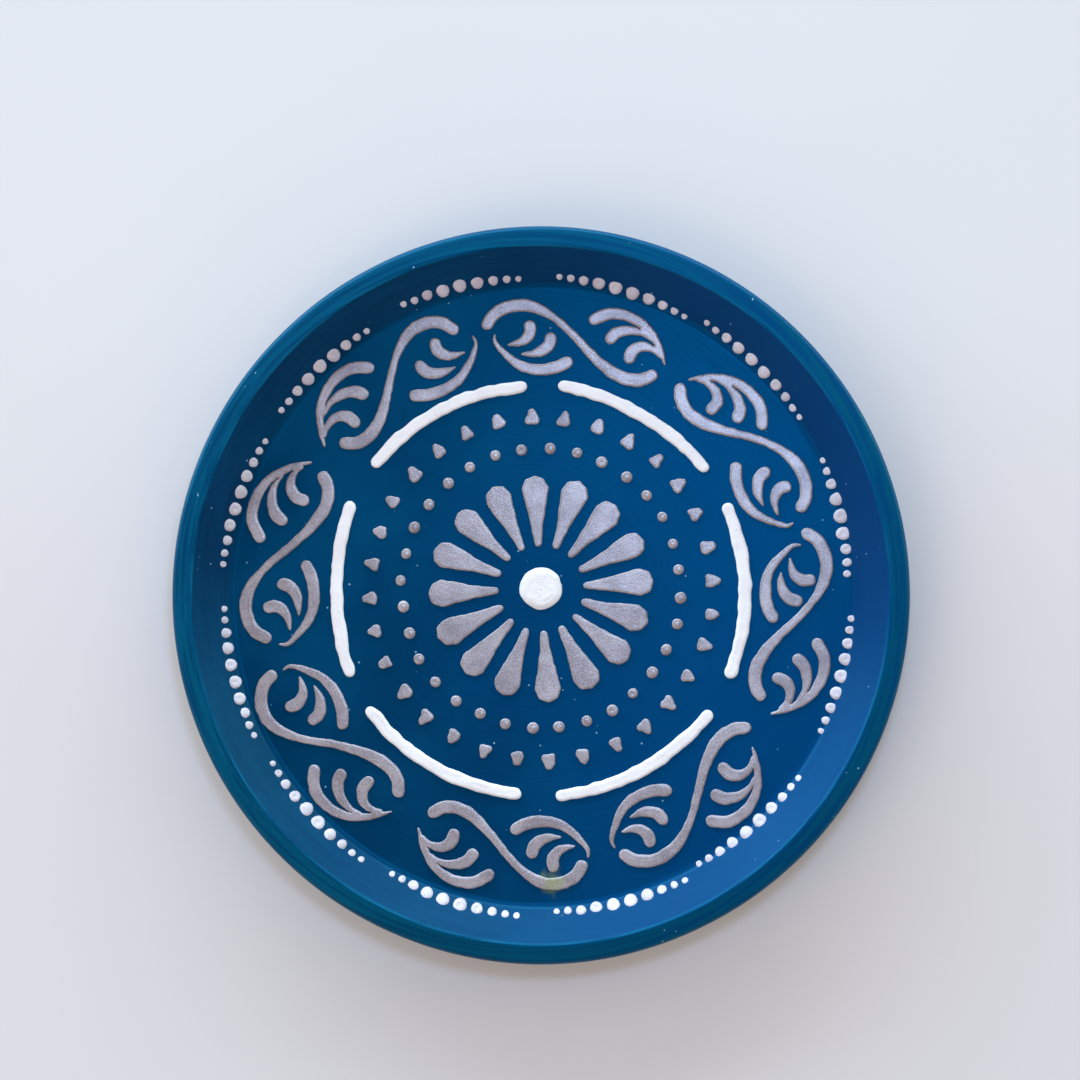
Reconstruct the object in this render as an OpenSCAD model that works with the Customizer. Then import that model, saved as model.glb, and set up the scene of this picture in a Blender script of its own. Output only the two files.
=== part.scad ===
// Hand painted ceramic plate: a fired clay dish with a blue coat, and a pattern
// of thick relief paint on its floor and along the foot of its wall.
// The plate lies on its foot ring. Z is its axis, and Y points to the pattern's top.

/* [Plate] */
// Widest diameter, over the rim
plate_d = 250; // [200:1:320]
// Width of the lip, from the rim's edge in to the crest
lip_w = 6.8; // [5:0.1:12]
// How far the lip falls from the crest to the rim's edge
lip_fall = 1.5; // [0.5:0.1:3]
// Horizontal run of the wall, from the crest in to the floor
wall_run = 12; // [8:0.5:18]
// Depth of the well, from the crest down to the floor
well_depth = 14; // [9:0.5:22]
// Height of the rim's outer edge
rim_t = 5; // [4:0.1:7]
// Rounding of the rim's edge
rim_round = 2.2; // [1:0.1:2.4]
// Rounding of the crest
crest_round = 1.2; // [0.8:0.1:2]
// Rounding between the floor and the wall
floor_round = 3; // [2:0.1:5]
// Rounding on the outside, where the wall turns under
heel_round = 7; // [4:0.5:10]
// Thickness of the wall
wall_t = 5.5; // [4:0.1:7]
// Thickness of the floor, coat included
floor_t = 5.5; // [4:0.1:7]

/* [Foot] */
// Outer diameter of the foot ring
foot_d = 144; // [110:1:160]
// Width of the foot ring
foot_w = 7; // [5:0.5:10]
// Height of the foot ring
foot_h = 4; // [3:0.1:6]
// Height of the recess inside the foot ring
recess_h = 3.5; // [2.5:0.1:3.9]
// Rounding of the foot ring's edges
foot_round = 1; // [0.5:0.1:1.5]

/* [Coat] */
// Thickness of the blue coat
coat_t = 0.3; // [0.2:0.05:0.5]

/* [Relief paint] */
// Height of the brushed strokes
stroke_h = 0.8; // [0.5:0.1:1.5]
// Height of the white arcs
arc_h = 1; // [0.5:0.1:1.5]
// A drop's height as a share of its width
drop_rise = 0.26; // [0.2:0.01:0.35]

/* [Pattern, drawn for a floor of floor_drawn_d] */
// Diameter of the floor that the pattern's sizes are drawn for
floor_drawn_d = 212.4; // [200:0.1:220]
// Diameter of the centre dot
centre_d = 14.4; // [10:0.2:18]
// Height of the centre dot
centre_h = 1.2; // [0.8:0.1:2]
// Petals in the rosette
petals = 16; // [12:1:18]
// Radius at which the petals start
petal_root = 15.6; // [14:0.2:20]
// Radius at which the petals end
petal_tip = 38.8; // [34:0.2:41]
// Width of a petal near its tip
petal_w = 9.2; // [6:0.2:11]
// Width of a petal at its root
petal_root_w = 2.6; // [1.5:0.1:4]
// Radius of the ring of small dots
dot_ring_r = 47.8; // [46:0.2:50]
// Diameter of the small dots
dot_d = 3.9; // [2.5:0.1:5]
// Radius of the ring of triangles
tri_ring_r = 59; // [57:0.2:61]
// Length of a triangle, base to point
tri_l = 5.2; // [4:0.1:6]
// Width of a triangle's base
tri_w = 4.8; // [3.5:0.1:6]
// Dots in the ring, and triangles in theirs
ring_count = 32; // [24:1:36]
// Radius of the white arcs
arc_ring_r = 70.4; // [69:0.1:72]
// Width of the white arcs
arc_w = 4.4; // [3:0.1:6]
// Angle that each white arc spans
arc_span = 50.5; // [40:0.5:54]
// Radius of the circle through the middles of the scrolls
scroll_ring_r = 88.6; // [87:0.1:90]
// Width of a scroll's ends
scroll_w = 4.4; // [3:0.1:5]
// Width of a scroll's middle
scroll_waist_w = 2.8; // [2:0.1:4]
// Width of a leaf's round end
leaf_w = 4.2; // [3:0.1:5]
// Width of a leaf's thin end
leaf_tip_w = 0.8; // [0.5:0.1:1.2]
// Radius of the runs of dots along the foot of the wall
run_ring_r = 107.8; // [106:0.1:109]
// Diameter of the largest dot of a run
run_big_d = 4.8; // [3.5:0.1:5.8]
// Diameter of the smallest dot of a run
run_small_d = 2.2; // [1.5:0.1:3]
// Gap between the dots of a run
run_gap = 1.35; // [0.6:0.05:1.6]

/* [Hidden] */
$fn = 48;
// Steps in the round top of a drop
drop_steps = 6;

// The plate's section
plate_r = plate_d / 2;
crest_r = plate_r - lip_w;
floor_r = crest_r - wall_run;
floor_z = foot_h + floor_t;
crest_z = floor_z + well_depth;
rim_top_z = crest_z - lip_fall;
rim_mid_z = rim_top_z - rim_t / 2;
under_z = rim_top_z - rim_t;
foot_r = foot_d / 2;
wall_angle = atan2(well_depth, wall_run);
wall_level_w = wall_t / sin(wall_angle);

// The pattern is enlarged or reduced with the floor that it goes on
fit = 2 * floor_r / floor_drawn_d;
// How far off the plate's centre each hand-set part of the pattern sits
rosette_shift = [0, 2.1];
scroll_shift = [-0.3, 1.2];
run_shift = [-1.3, 0];

// Angles are in degrees, clockwise from the pattern's top.
// First petal, dot and triangle
petal_turn = -3;
dot_turn = 3.5;
tri_turn = 8.2;
// The petals lag on one side: most at lag_at, and less and less over lag_over
petal_lag = 3;
lag_at = 135;
lag_over = 35;
// Middle of each white arc, and how far outside its ring it starts, passes its
// middle and ends
ARCS = [
    [30, -0.6, -2, -1], [90.5, -1, -0.8, 0.4], [151, 1, 0.2, 0.6],
    [210.5, 0, 0.6, 1.3], [270, 1, -0.4, 0.8], [331, 0.6, -0.2, -1.2]
];
// Middle of each scroll, 1 or -1 for its hand, how far outside its ring it sits,
// how far its outer side reaches against the drawn one, and how long it is
SCROLLS = [
    [8, 1, -1, 0.93, 1.03], [53.5, -1, 0, 0.83, 1], [96.5, 1, -1, 0.92, 1],
    [143, -1, 0, 0.96, 1.03], [188.5, 1, 0, 1, 0.92], [234, -1, 0, 1.3, 1],
    [279, 1, 0, 1.1, 1], [324.5, -1, 0, 1, 0.92]
];
// The same for the leaves on each scroll
LEAF_SETS = [
    [9.5, 1, -1.2, 0.86, 0.98], [55, -1, -1.1, 0.86, 1], [99, 1, -0.3, 0.93, 0.95],
    [145, -1, 0.3, 1.04, 0.94], [188.5, 1, 1.5, 0.98, 0.94], [233.5, -1, 1.2, 1.05, 0.98],
    [279, 1, 0.4, 1.05, 1.03], [324.5, -1, -0.5, 1, 1.04]
];
// Middle of each run of dots, how many dots it has, and how far outside its ring
// it starts and ends
RUNS = [
    [16, 10, 0.8, -0.5], [44, 10, 1.3, 0], [75.5, 9, -0.2, -1.8], [105, 9, -0.6, -0.8],
    [137, 10, 0.6, -1], [164.5, 10, 1.3, 0], [195.5, 10, 1.6, -0.6], [225.5, 10, 0.3, -0.8],
    [255.5, 10, 0, -0.8], [287.5, 10, 0, -0.8], [316.5, 9, 0, -0.3], [346, 9, 1.3, 0.3]
];

// A stroke's points are [angle from the scroll's middle, mm outside the scroll
// ring, width as a share of the stroke's widest]
SCROLL = [
    [-18.6, 6, 0.92], [-16.9, 9.2, 1], [-13.5, 11.3, 1], [-9.5, 10.7, 0.9],
    [-4.8, 6.4, 0], [0, 0, 0], [4.7, -5.4, 0.3], [9.3, -8.6, 0.9], [13.5, -9.4, 1],
    [16.9, -7.8, 1], [18.8, -4.6, 0.95]
];
LEAF_OUTER = [
    [1.9, 8.4, 1], [4.8, 12.2, 1], [9, 13, 0.85], [13.3, 10.8, 0.65], [17, 6, 0.45],
    [19.9, 0.9, 0]
];
LEAF_SECOND = [[6.2, 2.7, 1], [7.2, 5.6, 1], [9.8, 8, 0.75], [12.6, 8.5, 0.35], [14.7, 7.3, 0]];
LEAF_THIRD = [[11.7, -2.1, 1], [11.9, 1.3, 1], [13.8, 4, 0.75], [16.3, 4.2, 0.4], [18, 2.6, 0]];
LEAF_FOURTH = [[-12, 4, 1], [-12, 1, 1], [-13.9, -1.8, 0.7], [-17.3, -2.4, 0]];
LEAF_FIFTH = [[-7.2, -0.7, 1], [-7.8, -3.6, 1], [-10.5, -5.9, 0.75], [-14.2, -6, 0]];
LEAF_INNER = [
    [-2.8, -8.5, 1], [-6, -10.9, 1], [-11, -11.5, 0.9], [-15.2, -9.5, 0.7],
    [-18.5, -4.8, 0.45], [-20.2, -0.6, 0.2], [-19.9, 2.2, 0]
];
LEAVES = [LEAF_OUTER, LEAF_SECOND, LEAF_THIRD, LEAF_FOURTH, LEAF_FIFTH, LEAF_INNER];

// A steady unevenness of the hand, between -1 and 1
function hand(seed, i) = rands(-1, 1, i + 1, seed)[i];

function reversed(p) = [for (i = [len(p) - 1:-1:0]) p[i]];
function unit(v) = v / norm(v);
// The direction to the right of a step from one point to another
function right_of(a, b) = unit([b.y - a.y, a.x - b.x]);
// A line moved to its right by d, with its corners kept sharp
function moved(p, d) = [
    for (i = [0:len(p) - 1])
        let (
            before = right_of(p[max(i, 1) - 1], p[max(i, 1)]),
            after = right_of(p[min(i, len(p) - 2)], p[min(i, len(p) - 2) + 1])
        )
        p[i] + d * (before + after) / (1 + before * after)
];
// Points on the arc that rounds the corner b of a line a, b, c
function rounded_corner(a, b, c, r, steps) =
    let (
        back = unit(a - b),
        on = unit(c - b),
        half = acos(back * on) / 2,
        centre = b + unit(back + on) * r / sin(half),
        from = b + back * r / tan(half) - centre,
        turn = (180 - 2 * half) * sign(back.y * on.x - back.x * on.y)
    )
    [
        for (i = [0:steps])
            let (t = turn * i / steps)
            centre + [from.x * cos(t) - from.y * sin(t), from.x * sin(t) + from.y * cos(t)]
    ];
// A line of [x, y, corner radius], with its corners rounded
function rounded_line(p, steps = 6) = [
    for (i = [0:len(p) - 1])
        each p[i].z == 0
            ? [[p[i].x, p[i].y]]
            : rounded_corner(
                [p[i - 1].x, p[i - 1].y], [p[i].x, p[i].y], [p[i + 1].x, p[i + 1].y],
                p[i].z, steps
            )
];

// The painted face, from the axis out to the middle of the rim's edge
FACE = rounded_line([
    [0, floor_z, 0], [floor_r, floor_z, floor_round], [crest_r, crest_z, crest_round],
    [plate_r, rim_top_z, rim_round], [plate_r, rim_mid_z, 0]
]);
// The outside, from there back to the foot ring
function outside_r(z) = floor_r + (z - floor_z) * wall_run / well_depth + wall_level_w;
BACK = rounded_line([
    [plate_r, rim_mid_z, 0], [plate_r, under_z, rim_round],
    [outside_r(under_z), under_z, 0], [outside_r(foot_h), foot_h, heel_round],
    [foot_r, foot_h, 0]
]);
// The bare foot ring and the recess inside it
FOOT = rounded_line([
    [foot_r, foot_h, 0], [foot_r, 0, foot_round], [foot_r - foot_w, 0, foot_round],
    [foot_r - foot_w, recess_h, foot_round], [0, recess_h, 0]
]);
FACE_CLAY = moved(FACE, coat_t);
BACK_CLAY = moved(BACK, coat_t);

// Places in the pattern, on the floor that it is fitted to
function place(angle, r, shift) = fit * (shift + r * [sin(angle), cos(angle)]);

// A smooth curve through points of any dimension
function between(a, b, c, d, t) =
    (2 * b + (c - a) * t + (2 * a - 5 * b + 4 * c - d) * t * t
        + (3 * b - a - 3 * c + d) * t * t * t) / 2;
function curve(p, steps) =
    let (last = len(p) - 1)
    [
        for (i = [0:last - 1], j = [0:steps - 1])
            between(
                p[max(i - 1, 0)], p[i], p[i + 1], p[min(i + 2, last)], j / steps
            ),
        p[last]
    ];
function along(p, i) =
    let (a = p[max(i - 1, 0)], b = p[min(i + 1, len(p) - 1)])
    unit([b.x - a.x, b.y - a.y]);
// Half a circle at the end of a stroke: c is [x, y, half width], and way points out
function round_end(c, way, steps) = [
    for (i = [0:steps])
        let (t = 180 * i / steps - 90)
        [c.x, c.y] + c.z * [
            way.x * cos(t) - way.y * sin(t),
            way.x * sin(t) + way.y * cos(t)
        ]
];
// The outline of a brush stroke along points of [x, y, half width]
function stroke(p, steps = 3) =
    let (q = curve(p, steps), last = len(q) - 1)
    [
        each round_end(q[0], -along(q, 0), 6),
        for (i = [1:last - 1])
            let (w = along(q, i))
            [q[i].x, q[i].y] + q[i].z * [w.y, -w.x],
        each round_end(q[last], along(q, last), 4),
        for (i = [last - 1:-1:1])
            let (w = along(q, i))
            [q[i].x, q[i].y] - q[i].z * [w.y, -w.x]
    ];

// A drawn line where s, a row of SCROLLS or LEAF_SETS, puts it
function scroll_line(s, line, thin, wide) = [
    for (p = line)
        let (
            out = p.y > 0 ? p.y * s[3] : p.y,
            c = place(s[0] + s[1] * s[4] * p.x, scroll_ring_r + s[2] + out, scroll_shift)
        )
        [c.x, c.y, fit * (thin + (wide - thin) * p.z) / 2]
];

// A rounded triangle with its point outwards, about the origin, on the Y axis
function rounded_triangle(l, w, r) =
    let (
        point = [0, l / 2 - r],
        base_y = r - l / 2,
        base_x = w / 2 - r,
        slope = atan2(base_x, point.y - base_y)
    )
    [
        for (t = [180 - slope:-(180 - 2 * slope) / 4:slope - 0.01])
            point + r * [cos(t), sin(t)],
        for (t = [slope:-(90 + slope) / 4:-90.01])
            [base_x, base_y] + r * [cos(t), sin(t)],
        for (t = [270:-(90 + slope) / 4:180 - slope - 0.01])
            [-base_x, base_y] + r * [cos(t), sin(t)]
    ];

// Width of dot j in a run of n, and its place along the run
function run_dot_d(j, n) = run_small_d + (run_big_d - run_small_d) * pow(sin(180 * (j + 0.5) / n), 2);
function run_step(j, n) = (run_dot_d(j, n) + run_dot_d(j + 1, n)) / 2 + run_gap;
function run_length(j, n) = j == 0 ? 0 : run_length(j - 1, n) + run_step(j - 1, n);

// Height of the painted face at radius r, and the way it faces, as [radial, up]
function face_span(r) = [for (i = [0:len(FACE) - 2]) if (FACE[i].x <= r && FACE[i + 1].x > r) i][0];
function face_z(r) =
    let (a = FACE[face_span(r)], b = FACE[face_span(r) + 1])
    a.y + (b.y - a.y) * (r - a.x) / (b.x - a.x);
function face_normal(r) = -right_of(FACE[face_span(r)], FACE[face_span(r) + 1]);

// Radius of the ball that a drop d wide and h high is the cap of
function ball_r(d, h) = (d * d / 4 + h * h) / (2 * h);
// The round top of such a drop, from its edge in
function drop_top(d, h) =
    let (r = ball_r(d, h), edge = asin(d / 2 / r))
    [
        for (i = [0:drop_steps])
            let (t = edge * (1 - i / drop_steps))
            [r * sin(t), h + r * (cos(t) - 1)]
    ];

module turned(line) {
    rotate_extrude($fn = 360) polygon(line);
}

module clay_body() {
    color([0.78, 0.62, 0.5])
        turned(concat(
            FACE_CLAY,
            [for (i = [1:len(BACK_CLAY) - 1]) BACK_CLAY[i]],
            [for (i = [1:len(FOOT) - 1]) FOOT[i]]
        ));
}

module face_coat() {
    color([0, 0.26, 0.42]) turned(concat(FACE, reversed(FACE_CLAY)));
}

module back_coat() {
    color([0, 0.24, 0.38]) turned(concat(BACK, reversed(BACK_CLAY)));
}

// Paint of an outline's shape on the floor
module painted(outline, height) {
    translate([0, 0, floor_z]) linear_extrude(height) polygon(outline);
}

// A drop of paint on the flat floor, at p
module floor_drop(p, d, h) {
    translate([p.x, p.y, floor_z])
        rotate_extrude() polygon(concat([[0, 0]], drop_top(d, h)));
}

// A drop of paint on the wall: what stands out of the plate of a ball sunk into it.
// Across so small a drop, the plate is taken as straight.
module wall_drop(p, d) {
    h = d * drop_rise;
    r = norm(p);
    n = face_normal(r);
    sunk = ball_r(d, h) - h;
    rotate([0, 0, atan2(p.y, p.x)])
        difference() {
            translate([r - n.x * sunk, 0, face_z(r) - n.y * sunk]) sphere(ball_r(d, h), $fn = 120);
            translate([0, d, 0])
                rotate([90, 0, 0])
                    linear_extrude(2 * d) polygon(concat(FACE, [[plate_r, 0], [0, 0]]));
        }
}

module centre_dot() {
    color([0.95, 0.92, 0.95])
        floor_drop(place(0, 0, rosette_shift), fit * centre_d, fit * centre_h);
}

module petal(i) {
    even = 360 / petals * i;
    angle = petal_turn + even - petal_lag * exp(-pow((even - lag_at) / lag_over, 2)) + 0.4 * hand(11, i);
    tip = petal_tip + 0.4 * hand(12, i);
    wide = petal_w * (1 + 0.06 * hand(13, i));
    // Each line is [radius, width]
    line = [
        [petal_root, petal_root_w], [petal_root + 0.3 * (tip - petal_root), 0.46 * wide],
        [petal_root + 0.55 * (tip - petal_root), 0.74 * wide], [tip - wide / 2, wide]
    ];
    color([0.72, 0.66, 0.68])
        painted(stroke([
            for (s = line)
                let (c = place(angle, s[0], rosette_shift))
                [c.x, c.y, fit * s[1] / 2]
        ]), stroke_h);
}

module ring_dots() {
    color([0.76, 0.7, 0.73])
        for (i = [0:ring_count - 1]) {
            angle = dot_turn + 360 / ring_count * i + 0.4 * hand(21, i);
            d = fit * dot_d * (1 + 0.1 * hand(23, i));
            floor_drop(place(angle, dot_ring_r + 0.4 * hand(22, i), rosette_shift), d, d * drop_rise);
        }
}

module ring_triangles() {
    color([0.78, 0.72, 0.76])
        for (i = [0:ring_count - 1]) {
            angle = tri_turn + 360 / ring_count * i + 0.4 * hand(31, i);
            c = place(angle, tri_ring_r + 0.4 * hand(32, i), rosette_shift);
            s = fit * (1 + 0.07 * hand(33, i));
            translate([c.x, c.y, floor_z])
                rotate(-angle + 6 * hand(34, i))
                    linear_extrude(stroke_h) polygon(rounded_triangle(s * tri_l, s * tri_w, s * 1.2));
        }
}

module white_arc(i) {
    a = ARCS[i];
    half = (arc_span - arc_w / arc_ring_r * 180 / PI) / 2;
    color([0.95, 0.92, 0.96])
        painted(stroke([
            for (t = [-1:0.25:1])
                let (
                    out = a[2] + (a[3] - a[1]) / 2 * t + ((a[1] + a[3]) / 2 - a[2]) * t * t,
                    c = place(a[0] + t * half, arc_ring_r + out, rosette_shift)
                )
                [c.x, c.y, fit * arc_w / 2 * (1 - 0.08 * t * t + 0.04 * hand(50 + i, 4 + 4 * t))]
        ]), arc_h);
}

module scroll(i) {
    color([0.74, 0.66, 0.67])
        painted(stroke(scroll_line(SCROLLS[i], SCROLL, scroll_waist_w, scroll_w)), stroke_h);
}

module leaves(i) {
    color([0.74, 0.66, 0.67])
        translate([0, 0, floor_z])
            linear_extrude(stroke_h)
                for (line = LEAVES)
                    polygon(stroke(scroll_line(LEAF_SETS[i], line, leaf_tip_w, leaf_w)));
}

module dot_run(i) {
    run = RUNS[i];
    n = run[1];
    color([0.85, 0.84, 0.88])
        for (j = [0:n - 1]) {
            far = run_length(j, n) - run_length(n - 1, n) / 2;
            angle = run[0] + far / run_ring_r * 180 / PI;
            out = run[2] + (run[3] - run[2]) * j / (n - 1) + 0.2 * hand(60 + i, j);
            wall_drop(
                place(angle, run_ring_r + out, run_shift),
                fit * run_dot_d(j, n) * (1 + 0.05 * hand(80 + i, j))
            );
        }
}

function named(name, count) = [for (i = [1:count]) str(name, i)];

clay_body();
face_coat();
back_coat();
centre_dot();
ring_dots();
ring_triangles();
for (i = [1:petals]) petal(i - 1);
for (i = [1:len(ARCS)]) white_arc(i - 1);
for (i = [1:len(SCROLLS)]) scroll(i - 1);
for (i = [1:len(LEAF_SETS)]) leaves(i - 1);
for (i = [1:len(RUNS)]) dot_run(i - 1);
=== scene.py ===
# %% [markdown]
# # A hand painted ceramic plate
# The plate is a turned clay dish. A blue coat is brushed on its face and on its outside,
# and then a pattern is laid on the coat in paint so thick that it stands up: a rosette of
# petals, rings of dots and triangles, white arcs, scrolls with leaves, and runs of drops.
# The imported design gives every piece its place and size. This script gives them the
# unevenness of the hand, and their finishes. Lengths are in metres.

# %% Load the frame
import math

import bmesh
import bpy
import numpy as np
from mathutils import Matrix, Vector, geometry, kdtree


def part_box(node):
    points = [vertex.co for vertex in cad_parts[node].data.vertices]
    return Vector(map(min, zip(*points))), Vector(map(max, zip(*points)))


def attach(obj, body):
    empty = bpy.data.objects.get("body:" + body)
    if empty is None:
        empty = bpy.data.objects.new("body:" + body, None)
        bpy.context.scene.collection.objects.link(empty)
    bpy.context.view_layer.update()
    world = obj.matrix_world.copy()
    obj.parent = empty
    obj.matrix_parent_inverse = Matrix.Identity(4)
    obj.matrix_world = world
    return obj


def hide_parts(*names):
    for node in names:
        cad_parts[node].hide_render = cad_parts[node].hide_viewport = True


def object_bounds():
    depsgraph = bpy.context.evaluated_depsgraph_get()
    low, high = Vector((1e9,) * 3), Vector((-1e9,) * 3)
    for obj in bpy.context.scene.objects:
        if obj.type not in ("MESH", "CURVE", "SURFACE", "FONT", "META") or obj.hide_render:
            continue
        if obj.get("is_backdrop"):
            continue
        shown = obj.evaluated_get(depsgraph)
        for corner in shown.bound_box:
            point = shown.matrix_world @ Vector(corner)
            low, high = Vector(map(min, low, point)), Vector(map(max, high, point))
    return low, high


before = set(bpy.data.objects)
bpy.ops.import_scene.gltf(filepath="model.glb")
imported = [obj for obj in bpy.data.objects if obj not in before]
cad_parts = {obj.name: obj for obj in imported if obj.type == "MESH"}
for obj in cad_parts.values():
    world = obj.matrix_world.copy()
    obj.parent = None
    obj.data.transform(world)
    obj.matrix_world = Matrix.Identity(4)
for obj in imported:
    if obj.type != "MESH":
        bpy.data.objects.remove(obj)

cad_low, cad_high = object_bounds()
MM = 0.001
print("the design's box in mm:", [round(side / MM, 1) for side in cad_high - cad_low])

# %% [markdown]
# ## Camera
# The plate lies on its foot and the camera looks almost straight down its axis, from a
# little to the right and a little below. A wide lens close by could frame it as well, but it
# would stretch the near side of the wall. So a long lens stands well away, and the wall's far
# side and near side come out alike. It aims beyond the plate's middle, so the plate sits low
# in the frame.

# %% Camera
lens_distance = 1.3
frame_width_at_plate = 0.365
camera_right = math.radians(2.6)
camera_below = math.radians(1.3)
aim = Vector((0.0003, 0.0184, cad_high.z))
film_width = 36

camera_data = bpy.data.cameras.new("camera")
camera_data.sensor_width = film_width
camera_data.lens = film_width * lens_distance / frame_width_at_plate
camera = bpy.data.objects.new("camera", camera_data)
bpy.context.scene.collection.objects.link(camera)
towards = Vector((math.sin(camera_right), -math.sin(camera_below), 1)).normalized()
right = Vector((0, 1, 0)).cross(towards).normalized()
turned = Matrix((right, towards.cross(right), towards)).transposed().to_4x4()
camera.matrix_world = Matrix.Translation(aim + towards * lens_distance) @ turned
bpy.context.scene.camera = camera
print("lens in mm:", round(camera_data.lens, 1))

# %% [markdown]
# ## Floor and light
# A plain pale floor carries the plate. One small lamp could light it, but its hard shadows
# would cut the pattern up. The key light is a wide soft panel instead, which stands low beyond
# the pattern's top. It rakes across the dish, so the wall facing it is bright, the wall under
# it is dark, and every stroke of paint shows its thickness. Panels on the left and the right
# put a gloss on the lip, a small one overhead puts a sheen on the strokes, and a warm one at
# the lower left fills the shadows.

# %% Floor and light
floor_half_width = 4
floor_mesh = bpy.data.meshes.new("floor")
corners = [(-1, -1, 0), (1, -1, 0), (1, 1, 0), (-1, 1, 0)]
floor_mesh.from_pydata([Vector(corner) * floor_half_width for corner in corners], [], [(0, 1, 2, 3)])
floor = bpy.data.objects.new("floor", floor_mesh)
bpy.context.scene.collection.objects.link(floor)
floor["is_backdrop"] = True


def panel(name, place, width, height, watts, colour):
    """A soft light panel at a place, facing the plate."""
    light = bpy.data.lights.new(name, "AREA")
    light.shape = "RECTANGLE"
    light.size = width
    light.size_y = height
    light.energy = watts
    light.color = colour
    holder = bpy.data.objects.new(name, light)
    bpy.context.scene.collection.objects.link(holder)
    facing = Vector(place).to_track_quat("Z", "Y").to_matrix().to_4x4()
    holder.matrix_world = Matrix.Translation(place) @ facing


panel("key", (-0.3, 2.6, 0.75), width=4.5, height=1.1, watts=140, colour=(0.62, 0.8, 0.95))
panel("side_left", (-2.5, 1.5, 0.5), width=2, height=0.8, watts=52, colour=(0.4, 0.8, 1))
panel("side_right", (2.5, 1.5, 0.5), width=2, height=0.8, watts=28, colour=(0.6, 1, 0.95))
panel("sheen", (0.1, 0.2, 1), width=0.15, height=0.15, watts=2.6, colour=(0.35, 0.6, 1))
panel("fill", (-1.1, -1, 1.4), width=1.6, height=1.6, watts=9, colour=(1, 0.92, 0.87))

room_colour = (1, 0.88, 0.8, 1)
room_strength = 0.5
world = bpy.data.worlds.new("room")
world.use_nodes = True
background = world.node_tree.nodes["Background"]
background.inputs["Color"].default_value = room_colour
background.inputs["Strength"].default_value = room_strength
bpy.context.scene.world = world
bpy.context.scene.view_settings.view_transform = "Standard"
print("light panels:", [light.name for light in bpy.data.lights])

# %% [markdown]
# ## A short way to write node trees
# Materials and Geometry Nodes are both made of nodes joined by links. Each link could be
# written out by hand, but a tree of forty nodes would then fill pages. These helpers add a
# node, feed its inputs with numbers or with other nodes' outputs, and give back what comes
# out, so that a tree reads like a few lines of arithmetic.


# %% Node helpers
def put(tree, kind, feeds=None, **settings):
    """Adds a node. Feeds maps an input's name or number to a value or to an output."""
    node = tree.nodes.new(kind)
    for name, value in settings.items():
        setattr(node, name, value)
    for key, value in (feeds or {}).items():
        if isinstance(value, bpy.types.NodeSocket):
            tree.links.new(value, node.inputs[key])
        else:
            node.inputs[key].default_value = value
    return node


def calc(tree, operation, *values, clamp=False):
    """One sum on numbers."""
    feeds = dict(enumerate(values))
    return put(tree, "ShaderNodeMath", feeds, operation=operation, use_clamp=clamp).outputs[0]


def vector(tree, operation, *values):
    """One sum on vectors. A length comes out as a number."""
    node = put(tree, "ShaderNodeVectorMath", dict(enumerate(values)), operation=operation)
    return node.outputs["Value" if operation == "LENGTH" else "Vector"]


def noise(tree, place, scale, detail, roughness=0.5):
    """Cloudy noise, from 0 to 1. Scale is in waves per metre."""
    feeds = {"Vector": place, "Scale": scale, "Detail": detail, "Roughness": roughness}
    return put(tree, "ShaderNodeTexNoise", feeds).outputs[0]


def noise_arrows(tree, place, scale, detail):
    """Cloudy noise as a vector, each part of it from -0.5 to 0.5."""
    feeds = {"Vector": place, "Scale": scale, "Detail": detail}
    cloud = put(tree, "ShaderNodeTexNoise", feeds).outputs["Color"]
    return vector(tree, "SUBTRACT", cloud, (0.5, 0.5, 0.5))


# %% [markdown]
# ## The hand's wobble
# Clay that was turned and dried by hand is never quite flat or round. Each piece could be
# bent by itself, but then gaps would open under the paint. So one slow noise, read at each
# point's own place, pushes the clay, the coats and the paint alike, and they stay in touch.
# Every piece runs through a Geometry Nodes tree that ends the same way: real mesh, smooth
# but for its sharp corners, and with its material.

# %% Wobble
wobble_height = 0.25 * MM
wobbles_per_metre = 14
sharp_corner = math.radians(50)


def wobbled(tree, shape, place):
    """Moves a shape's points by the slow noise found at their places."""
    arrows = noise_arrows(tree, place, wobbles_per_metre, 1)
    push = vector(tree, "MULTIPLY", arrows, (wobble_height, wobble_height, 2 * wobble_height))
    node = put(tree, "GeometryNodeSetPosition", {"Geometry": shape, "Offset": push})
    return node.outputs["Geometry"]


def new_tree(name, sockets):
    """A Geometry Nodes tree with a mesh in, a mesh out, and named inputs."""
    tree = bpy.data.node_groups.new(name, "GeometryNodeTree")
    tree.interface.new_socket("Geometry", in_out="INPUT", socket_type="NodeSocketGeometry")
    for label, kind in sockets.items():
        tree.interface.new_socket(label, in_out="INPUT", socket_type="NodeSocket" + kind)
    tree.interface.new_socket("Geometry", in_out="OUTPUT", socket_type="NodeSocketGeometry")
    return tree, tree.nodes.new("NodeGroupInput").outputs


def finish_tree(tree, shape, material):
    """Ends a tree: real mesh, smooth between its sharp corners, with its material."""
    real = put(tree, "GeometryNodeRealizeInstances", {"Geometry": shape}).outputs[0]
    round_all = put(tree, "GeometryNodeSetShadeSmooth", {"Geometry": real}).outputs[0]
    angle = put(tree, "GeometryNodeInputMeshEdgeAngle").outputs["Unsigned Angle"]
    corner = calc(tree, "GREATER_THAN", angle, sharp_corner)
    feeds = {"Geometry": round_all, "Selection": corner, "Shade Smooth": False}
    smooth = put(tree, "GeometryNodeSetShadeSmooth", feeds, domain="EDGE").outputs[0]
    feeds = {"Geometry": smooth, "Material": material}
    coloured = put(tree, "GeometryNodeSetMaterial", feeds).outputs[0]
    put(tree, "NodeGroupOutput", {"Geometry": coloured})
    print("tree", tree.name, "has", len(tree.nodes), "nodes")


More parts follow.
